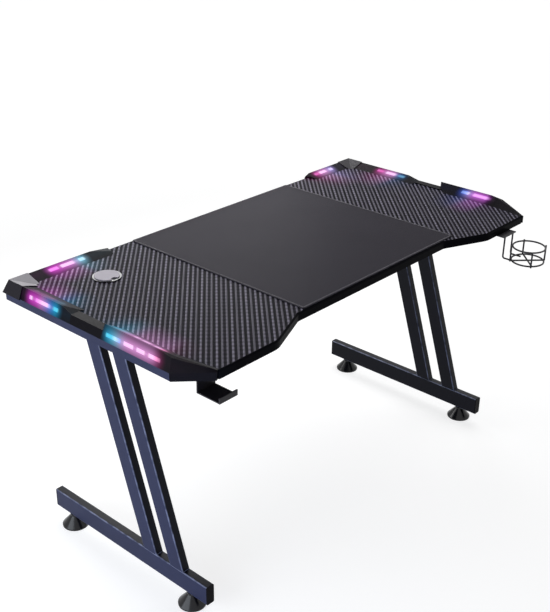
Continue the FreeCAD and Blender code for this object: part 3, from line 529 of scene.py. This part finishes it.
def rib_blocks():
    """Outlines of what lies on the board: the mat, the grommet, and the guards, strips and caps."""
    low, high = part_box("grommet_ring")
    middle = ((low + high) / 2).xy
    radius = (high.x - low.x) / 2
    angles = [4 * QUARTER_TURN * step / RING_STEPS for step in range(RING_STEPS)]
    ring = [middle + Vector((math.cos(angle), math.sin(angle))) * radius for angle in angles]
    blocks = [MAT_CORNERS, ring]
    guard_x, guard_y = TABLE_SIDE - GUARD_WIDTH, TABLE_REAR - GUARD_WIDTH
    for side, sign in (("left", -1), ("right", 1)):
        rear_arm, side_end = inner_corner(f"rear_{side}_guard")
        strip_x, strip_end = inner_corner(f"{side}_edge_strip")
        cap_x, cap_y = inner_corner(f"rear_{side}_corner_cap")
        step_x, step_y = cap_x + CAP_STEP, cap_y + CAP_STEP
        front_arm = strip_end - FRONT_ARM_SLOPE * (strip_x - guard_x)
        edge = [(PAST_SIDE, PAST_REAR), (guard_x, PAST_REAR), (guard_x, side_end), (strip_x, side_end),
                (strip_x, strip_end), (guard_x, front_arm), (guard_x, CORNER_START), CORNER_BEND,
                (CORNER_END, PAST_FRONT), (PAST_SIDE, PAST_FRONT)]
        back = [(rear_arm, PAST_REAR), (rear_arm + REAR_ARM_SLOPE * GUARD_WIDTH, guard_y),
                (PAST_SIDE, guard_y), (PAST_SIDE, PAST_REAR)]
        cap = [(cap_x, PAST_REAR), (cap_x, step_y), (step_x, step_y), (step_x, cap_y),
               (PAST_SIDE, cap_y), (PAST_SIDE, PAST_REAR)]
        blocks += [flat([(sign * x, y) for x, y in corners]) for corners in (edge, back, cap)]
    return blocks


def top_ribs():
    outline = rib_outline()
    blocks = rib_blocks()
    along = Vector((math.cos(RIB_TURN), math.sin(RIB_TURN)))
    across = Vector((-along.y, along.x))
    verts, faces = [], []

    def strip(*sides):
        first = len(verts)
        for origin, height, ends in sides:
            for end in ends:
                spot = origin + along * end
                verts.append((spot.x, spot.y, TOP - RIB_SINK + height))
        faces.append((first, first + 1, first + 3, first + 2))

    for number in range(-RIB_COUNT, RIB_COUNT + 1):
        lines = []
        for offset, height in RIB_PROFILE:
            origin = across * (number * RIB_PITCH + offset)
            lines.append((origin, height, free_spans(outline, blocks, origin, along)))
        for (origin_a, height_a, spans_a), (origin_b, height_b, spans_b) in zip(lines, lines[1:]):
            for a0, a1 in spans_a:
                for b0, b1 in spans_b:
                    if min(a1, b1) - max(a0, b0) < RIB_SHORTEST:
                        continue
                    ends_a = (max(a0, b0 - RIB_SLACK), min(a1, b1 + RIB_SLACK))
                    ends_b = (max(b0, a0 - RIB_SLACK), min(b1, a1 + RIB_SLACK))
                    strip((origin_a, height_a, ends_a), (origin_b, height_b, ends_b))
    return mesh_piece("top_ribs", verts, faces, rib_material())


# Desk mat: a rolled edge with an overlocked border. The profile is inset and height, and the path of
# a stitch is inset, height and slant.
MAT_CORNER = 0.006
LEAST_RADIUS = 0.0005
CORNER_POINTS = 7
MAT_PROFILE = ((0.0004, 0.0), (0.0, 0.0006), (0.0, 0.0022), (0.0004, 0.0028), (0.0011, 0.003),
               (0.0056, 0.003), (0.0062, 0.0027), (0.007, 0.00275))
STITCH_PITCH = 0.0026
STITCH_PATH = ((0.006, 0.0029, 0.0), (0.0032, 0.0034, 0.0006), (0.0006, 0.0031, 0.0011),
               (0.0, 0.0014, 0.0013))
THREAD = 0.0004
THREAD_HALF_WIDTH = 1.6 * THREAD


def mat_border(inset):
    """Points round the mat's edge, the same number at every inset."""
    radius = max(MAT_CORNER - inset, LEAST_RADIUS)
    pull = inset + radius
    points = []
    for number, corner in enumerate(MAT_CORNERS):
        centre = corner - Vector((math.copysign(pull, corner.x), math.copysign(pull, corner.y - MIDDLE_Y)))
        for step in range(CORNER_POINTS):
            angle = QUARTER_TURN * (number + step / (CORNER_POINTS - 1))
            points.append(centre + Vector((math.cos(angle), math.sin(angle))) * radius)
    return points


def mat_material():
    made, tree, shader = material("mat_cloth", Specular_IOR_Level=0.01, Sheen_Weight=0.01,
                                  Sheen_Roughness=0.4)
    tone = mottled(tree, scale=5.0, dark=linear(51, 49, 56), light=linear(60, 57, 65))
    inputs = {"Vector": place(tree), "Scale": 1400.0}
    threads = node(tree, "ShaderNodeTexVoronoi", inputs).outputs["Distance"]
    shading = spread(tree, threads, low=0.0, high=0.25)
    dress(tree, shader, Base_Color=blend(tree, shading, tone, linear(26, 24, 30)),
          Roughness=uneven(tree, scale=40.0, low=0.36, high=0.44))
    bump(tree, shader, threads, strength=0.35, depth=0.0003)
    return made


def desk_mat(finish):
    verts, faces, loops = [], [], []
    for inset, height in MAT_PROFILE:
        border = [(p.x, p.y, TOP + height) for p in mat_border(inset)]
        loops.append(range(len(verts), len(verts) + len(border)))
        verts += border
    for low, high in zip(loops, loops[1:]):
        for i in range(len(low)):
            j = (i + 1) % len(low)
            faces.append((low[i], low[j], high[j], high[i]))
    faces.append(tuple(loops[-1]))
    faces.append(tuple(reversed(loops[0])))
    mat = mesh_piece("mat_cover", verts, faces, finish)
    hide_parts("desk_mat")
    return mat


def stitch_material():
    made, tree, shader = material("stitch_thread", Specular_IOR_Level=0.3, Sheen_Weight=0.3)
    dress(tree, shader,
          Base_Color=mottled(tree, scale=300.0, dark=linear(74, 72, 80), light=linear(112, 108, 118)),
          Roughness=uneven(tree, scale=500.0, low=0.55, high=0.75))
    bump(tree, shader, noise(tree, scale=2500.0), strength=0.5, depth=0.0003)
    return made


def mat_stitching():
    """Slanted threads that wrap the edge, one after another round the border."""
    border = mat_border(0.0)
    verts, faces = [], []
    for start, end in zip(border, border[1:] + border[:1]):
        run = end - start
        if run.length < STITCH_PITCH:
            continue
        count = int(run.length / STITCH_PITCH)
        ahead = run.normalized()
        inward = Vector((-ahead.y, ahead.x))
        side = ahead * THREAD_HALF_WIDTH
        for step in range(count):
            spot = start + ahead * (run.length * (step + 0.5) / count)
            first = len(verts)
            for inset, height, slant in STITCH_PATH:
                middle = spot + inward * inset + ahead * slant
                lift = THREAD if inset else 0.0
                push = inward * (0.0 if inset else -THREAD)
                for p, up in ((middle - side, 0.0), (middle + push, lift), (middle + side, 0.0)):
                    verts.append((p.x, p.y, TOP + height + up))
            for ring in range(len(STITCH_PATH) - 1):
                base = first + ring * 3
                for k in (base, base + 1):
                    faces.append((k, k + 1, k + 4, k + 3))
    return mesh_piece("mat_stitching", verts, faces, stitch_material(), smooth=True)


# Weld beads where the legs meet the beams and the top tubes. A leg's slanted end is this deep.
LEG_FOOT_DEPTH = 0.04994
BEAD = 0.0022
BEAD_STEPS = 40
BEAD_INSET = 0.003
BEAD_RIPPLE = 0.2
BEAD_END = 0.3
BEAD_TURNS = (0.0, 22.5, 45.0, 67.5, 90.0)


def weld_beads(finish):
    verts, faces = [], []
    ring = len(BEAD_TURNS)

    def bead(x_low, x_high, y, z, out, up):
        first = len(verts)
        for step in range(BEAD_STEPS + 1):
            x = x_low + (x_high - x_low) * step / BEAD_STEPS
            size = BEAD * (1 - BEAD_RIPPLE + BEAD_RIPPLE * math.cos(step * QUARTER_TURN))
            if step in (0, BEAD_STEPS):
                size *= BEAD_END
            for turn in BEAD_TURNS:
                angle = math.radians(turn)
                verts.append((x, y + out * size * math.cos(angle), z + up * size * math.sin(angle)))
        for step in range(BEAD_STEPS):
            for k in range(ring - 1):
                base = first + step * ring + k
                faces.append((base, base + 1, base + ring + 1, base + ring))

    for side in ("left", "right"):
        for end in ("rear", "front"):
            low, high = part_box(f"{side}_{end}_leg")
            ends = (low.x + BEAD_INSET, high.x - BEAD_INSET)
            bead(*ends, low.y, low.z, -1, 1)
            bead(*ends, low.y + LEG_FOOT_DEPTH, low.z, 1, 1)
            bead(*ends, high.y, high.z, 1, -1)
            bead(*ends, high.y - LEG_FOOT_DEPTH, high.z, -1, -1)
    return mesh_piece("weld_beads", verts, faces, finish, smooth=True)


# Finishes of the remaining slots


def paint_material():
    """Black paint, with a painted slate sheen on the frames' outer side faces and a painted pale highlight,
    in patches, on rounded edges.
    """
    made, tree, shader = material("frame_paint", Specular_IOR_Level=0.1)
    sideways = facing(tree, "X")
    side = maths(tree, "SIGN", part_of(tree, place(tree), "X"))
    # Painted sheen: the side faces that look outward from the middle get a slate tone in place of the cool
    # light they reflect; the paint itself is black.
    outer = spread(tree, maths(tree, "MULTIPLY", sideways, side), 0.0, 1.0, start=0.6, end=0.9)
    black = mottled(tree, scale=9.0, dark=linear(12, 13, 20), light=linear(17, 18, 28))
    sheen_slate = mottled(tree, scale=9.0, dark=linear(35, 39, 63), light=linear(45, 50, 78))
    # Painted highlight: a pale tone on the rounded edges of the tubes stands for the light they catch; noise
    # breaks it into patches.
    squared = maths(tree, "POWER", sideways, 2.0)
    rounded = maths(tree, "MULTIPLY", squared, maths(tree, "SUBTRACT", 1.0, squared))
    highlight_patches = spread(tree, noise(tree, scale=45.0), low=0.2, high=0.8, start=0.35, end=0.65)
    edge = maths(tree, "MULTIPLY", spread(tree, rounded, 0.0, 1.0, start=0.02, end=0.2), highlight_patches)
    highlight_tone = linear(146, 151, 174)
    dress(tree, shader, Base_Color=blend(tree, edge, blend(tree, outer, black, sheen_slate), highlight_tone),
          Roughness=uneven(tree, scale=120.0, low=0.3, high=0.42))
    bump(tree, shader, noise(tree, scale=450.0), strength=0.25, depth=0.0005)
    return made


def steel_material():
    """Plated steel with streaks across its length and faint turned bands."""
    made, tree, shader = material("plain_steel", Metallic=1.0)
    drawn = node(tree, "ShaderNodeMapping", {"Vector": place(tree), "Scale": (1.0, 1.0, 14.0)}).outputs[0]
    streaks = noise(tree, scale=90.0, detail=FINE_DETAIL, where=drawn)
    dress(tree, shader, Base_Color=blend(tree, streaks, linear(150, 150, 152), linear(196, 196, 198)),
          Roughness=spread(tree, streaks, low=0.25, high=0.42))
    inputs = {"Vector": place(tree), "Scale": 33.0}
    bands = node(tree, "ShaderNodeTexWave", inputs, bands_direction="Z").outputs["Fac"]
    bump(tree, shader, bands, strength=0.25, depth=0.0005)
    return made


def strip_material():
    made, tree, shader = material("strip_board", Roughness=0.45)
    dress(tree, shader,
          Base_Color=mottled(tree, scale=200.0, dark=linear(214, 214, 208), light=linear(236, 236, 230)))
    bump(tree, shader, noise(tree, scale=900.0), strength=0.2, depth=0.0003)
    return made


finishes = {
    "ribbed_laminate": board_material(),
    "mat_cloth": mat_material(),
    "guard_plastic": speckled(
        "guard_plastic", dark=linear(8, 7, 10), light=linear(15, 13, 18), roughness=0.42,
        grain=900.0, depth=0.0004, Specular_IOR_Level=0.03),
    "cap_plastic": cap_material("cap_plastic", tone=linear(176, 173, 179), shade=linear(24, 21, 27)),
    "strip_board": strip_material(),
    "frame_paint": paint_material(),
    "plain_steel": steel_material(),
    "black_gloss_plastic": speckled(
        "black_gloss_plastic", dark=linear(10, 10, 12), light=linear(20, 20, 24), roughness=0.2,
        grain=120.0, depth=0.0004, Specular_IOR_Level=0.3),
    "grey_plastic": speckled(
        "grey_plastic", dark=linear(154, 149, 160), light=linear(170, 164, 176), roughness=0.45,
        grain=800.0, depth=0.0004, Specular_IOR_Level=0.12),
    "cable_jacket": speckled(
        "cable_jacket", dark=linear(18, 18, 19), light=linear(28, 28, 30), roughness=0.55,
        grain=600.0, depth=0.0004),
}
# Nodes that look different from the rest of their slot, and the lenses
special = {}
for name, stretches in LIT.items():
    special[name + "_lenses"] = lens_material(name, stretches)
    special[name + "_guard"] = guard_material(name, stretches)
# Painted shade: the right corner cap takes a darker copy of the cap plastic, standing for the shade it sits
# in; it is the same plastic as the left cap.
special["rear_right_corner_cap"] = cap_material("shaded_cap_copy", tone=linear(40, 37, 44), shade=linear(16, 14, 18))
black_paint = speckled(
    "black_paint", dark=linear(22, 20, 25), light=linear(32, 29, 36), roughness=0.36,
    grain=450.0, depth=0.0004, Specular_IOR_Level=0.25)
for name in ("headphone_hook", "cup_holder_plate", "cup_holder_hangers", "cup_holder_uprights",
             "cup_holder_ring", "cup_holder_base"):
    special[name] = black_paint
for part in frame["record"]["subparts"]:
    name = part["node"]
    finish = special[name] if name in special else finishes[part["material_slot"]]
    nodes[name].data.materials.clear()
    nodes[name].data.materials.append(finish)

top_ribs()
mat = desk_mat(finishes["mat_cloth"])
stitching = mat_stitching()
weld_beads(finishes["frame_paint"])

# Floor, light and camera
WHITE = (1.0, 1.0, 1.0)
FLOOR_HALF = 40.0
FLOOR_DULL = (0.25, 0.25, 0.26, 1.0)
FLOOR_PALE = (0.42, 0.42, 0.42, 1.0)
WORLD_LIGHT = 0.16
SUN_DIRECTION = Vector((-0.5, -0.2, -0.84))


def seen(tree):
    """1 for the rays that see the background directly, in a reflection or through something clear."""
    rays = node(tree, "ShaderNodeLightPath")
    looks = maths(tree, "ADD", rays.outputs["Is Camera Ray"], rays.outputs["Is Glossy Ray"], clamp=True)
    return maths(tree, "ADD", looks, rays.outputs["Is Transmission Ray"], clamp=True)


def floor():
    """A pale floor that shows white and keeps the shadows; it glows a little less near the desk."""
    mesh = bpy.data.meshes.new("floor")
    corners = [(-FLOOR_HALF, -FLOOR_HALF, 0), (FLOOR_HALF, -FLOOR_HALF, 0), (FLOOR_HALF, FLOOR_HALF, 0),
               (-FLOOR_HALF, FLOOR_HALF, 0)]
    mesh.from_pydata(corners, [], [(0, 1, 2, 3)])
    made = bpy.data.materials.new("floor")
    made.use_nodes = True
    tree = made.node_tree
    tree.nodes.clear()
    dull = node(tree, "ShaderNodeBsdfDiffuse", {"Color": FLOOR_DULL})
    pale = node(tree, "ShaderNodeBsdfDiffuse", {"Color": FLOOR_PALE})
    reach = node(tree, "ShaderNodeVectorMath", {0: place(tree)}, operation="LENGTH").outputs["Value"]
    strength = spread(tree, reach, low=0.7, high=0.82, start=0.6, end=3.0)
    glow = node(tree, "ShaderNodeEmission", {"Color": (*WHITE, 1.0), "Strength": strength})
    white = node(tree, "ShaderNodeAddShader", {0: pale.outputs[0], 1: glow.outputs[0]})
    both = node(tree, "ShaderNodeMixShader", {0: seen(tree), 1: dull.outputs[0], 2: white.outputs[0]})
    node(tree, "ShaderNodeOutputMaterial", {"Surface": both.outputs[0]})
    mesh.materials.append(made)
    ground = bpy.data.objects.new("floor", mesh)
    bpy.context.scene.collection.objects.link(ground)


def toward(direction):
    """The turn of a lamp that shines in a direction."""
    return direction.to_track_quat("-Z", "Y").to_euler()


def softbox(name, spot, aim, size, power, colour=WHITE):
    lamp = bpy.data.lights.new(name, "AREA")
    lamp.shape = "RECTANGLE"
    lamp.size, lamp.size_y = size
    lamp.energy = power
    lamp.color = colour
    made = bpy.data.objects.new(name, lamp)
    made.location = spot
    made.rotation_euler = toward(Vector(aim) - Vector(spot))
    made.visible_camera = False
    bpy.context.scene.collection.objects.link(made)


floor()
world = bpy.data.worlds.new("studio")
world.use_nodes = True
sky = world.node_tree.nodes["Background"]
dress(world.node_tree, sky, Color=(*WHITE, 1.0),
      Strength=spread(world.node_tree, seen(world.node_tree), WORLD_LIGHT, 1.0))
bpy.context.scene.world = world
sun = bpy.data.lights.new("top_light", "SUN")
sun.energy = 1.1
sun.angle = math.radians(40.0)
top_light = bpy.data.objects.new("top_light", sun)
top_light.rotation_euler = toward(SUN_DIRECTION)
bpy.context.scene.collection.objects.link(top_light)
softbox("left_light", spot=(-2.0, 0.2, 0.7), aim=(-0.65, 0.05, 0.4), size=(1.6, 1.2), power=23.0,
        colour=(0.84, 0.91, 1.0))
softbox("rear_light", spot=(0.4, 1.35, 1.4), aim=(0.25, 0.25, 0.74), size=(2.2, 0.5), power=20.0)
softbox("low_light", spot=(-1.7, -0.7, 0.25), aim=(-0.62, -0.05, 0.12), size=(1.0, 0.4), power=5.5,
        colour=(0.36, 0.52, 1.0))

# The camera that was fitted to the photograph
CAMERA_SPOT = (-2.00223, -1.65204, 1.82671)
AZIMUTH = math.radians(-47.58)
ELEVATION = math.radians(26.58)
ROLL = math.radians(0.42)
camera_data = bpy.data.cameras.new("camera")
camera_data.sensor_width = 36.0
camera_data.lens = 60.32
camera_data.shift_x = 0.02322
camera_data.shift_y = 0.02214
camera_data.clip_end = 200.0
camera = bpy.data.objects.new("camera", camera_data)
level = math.cos(ELEVATION)
back = Vector((math.sin(AZIMUTH) * level, -math.cos(AZIMUTH) * level, math.sin(ELEVATION)))
right = (-back).cross(Vector((0, 0, 1))).normalized()
up = back.cross(right)
turned_right = right * math.cos(ROLL) + up * math.sin(ROLL)
turned_up = up * math.cos(ROLL) - right * math.sin(ROLL)
turn = Matrix((turned_right, turned_up, back)).transposed()
camera.matrix_world = Matrix.Translation(CAMERA_SPOT) @ turn.to_4x4()
bpy.context.scene.collection.objects.link(camera)
bpy.context.scene.camera = camera
bpy.context.scene.view_settings.view_transform = "Standard"
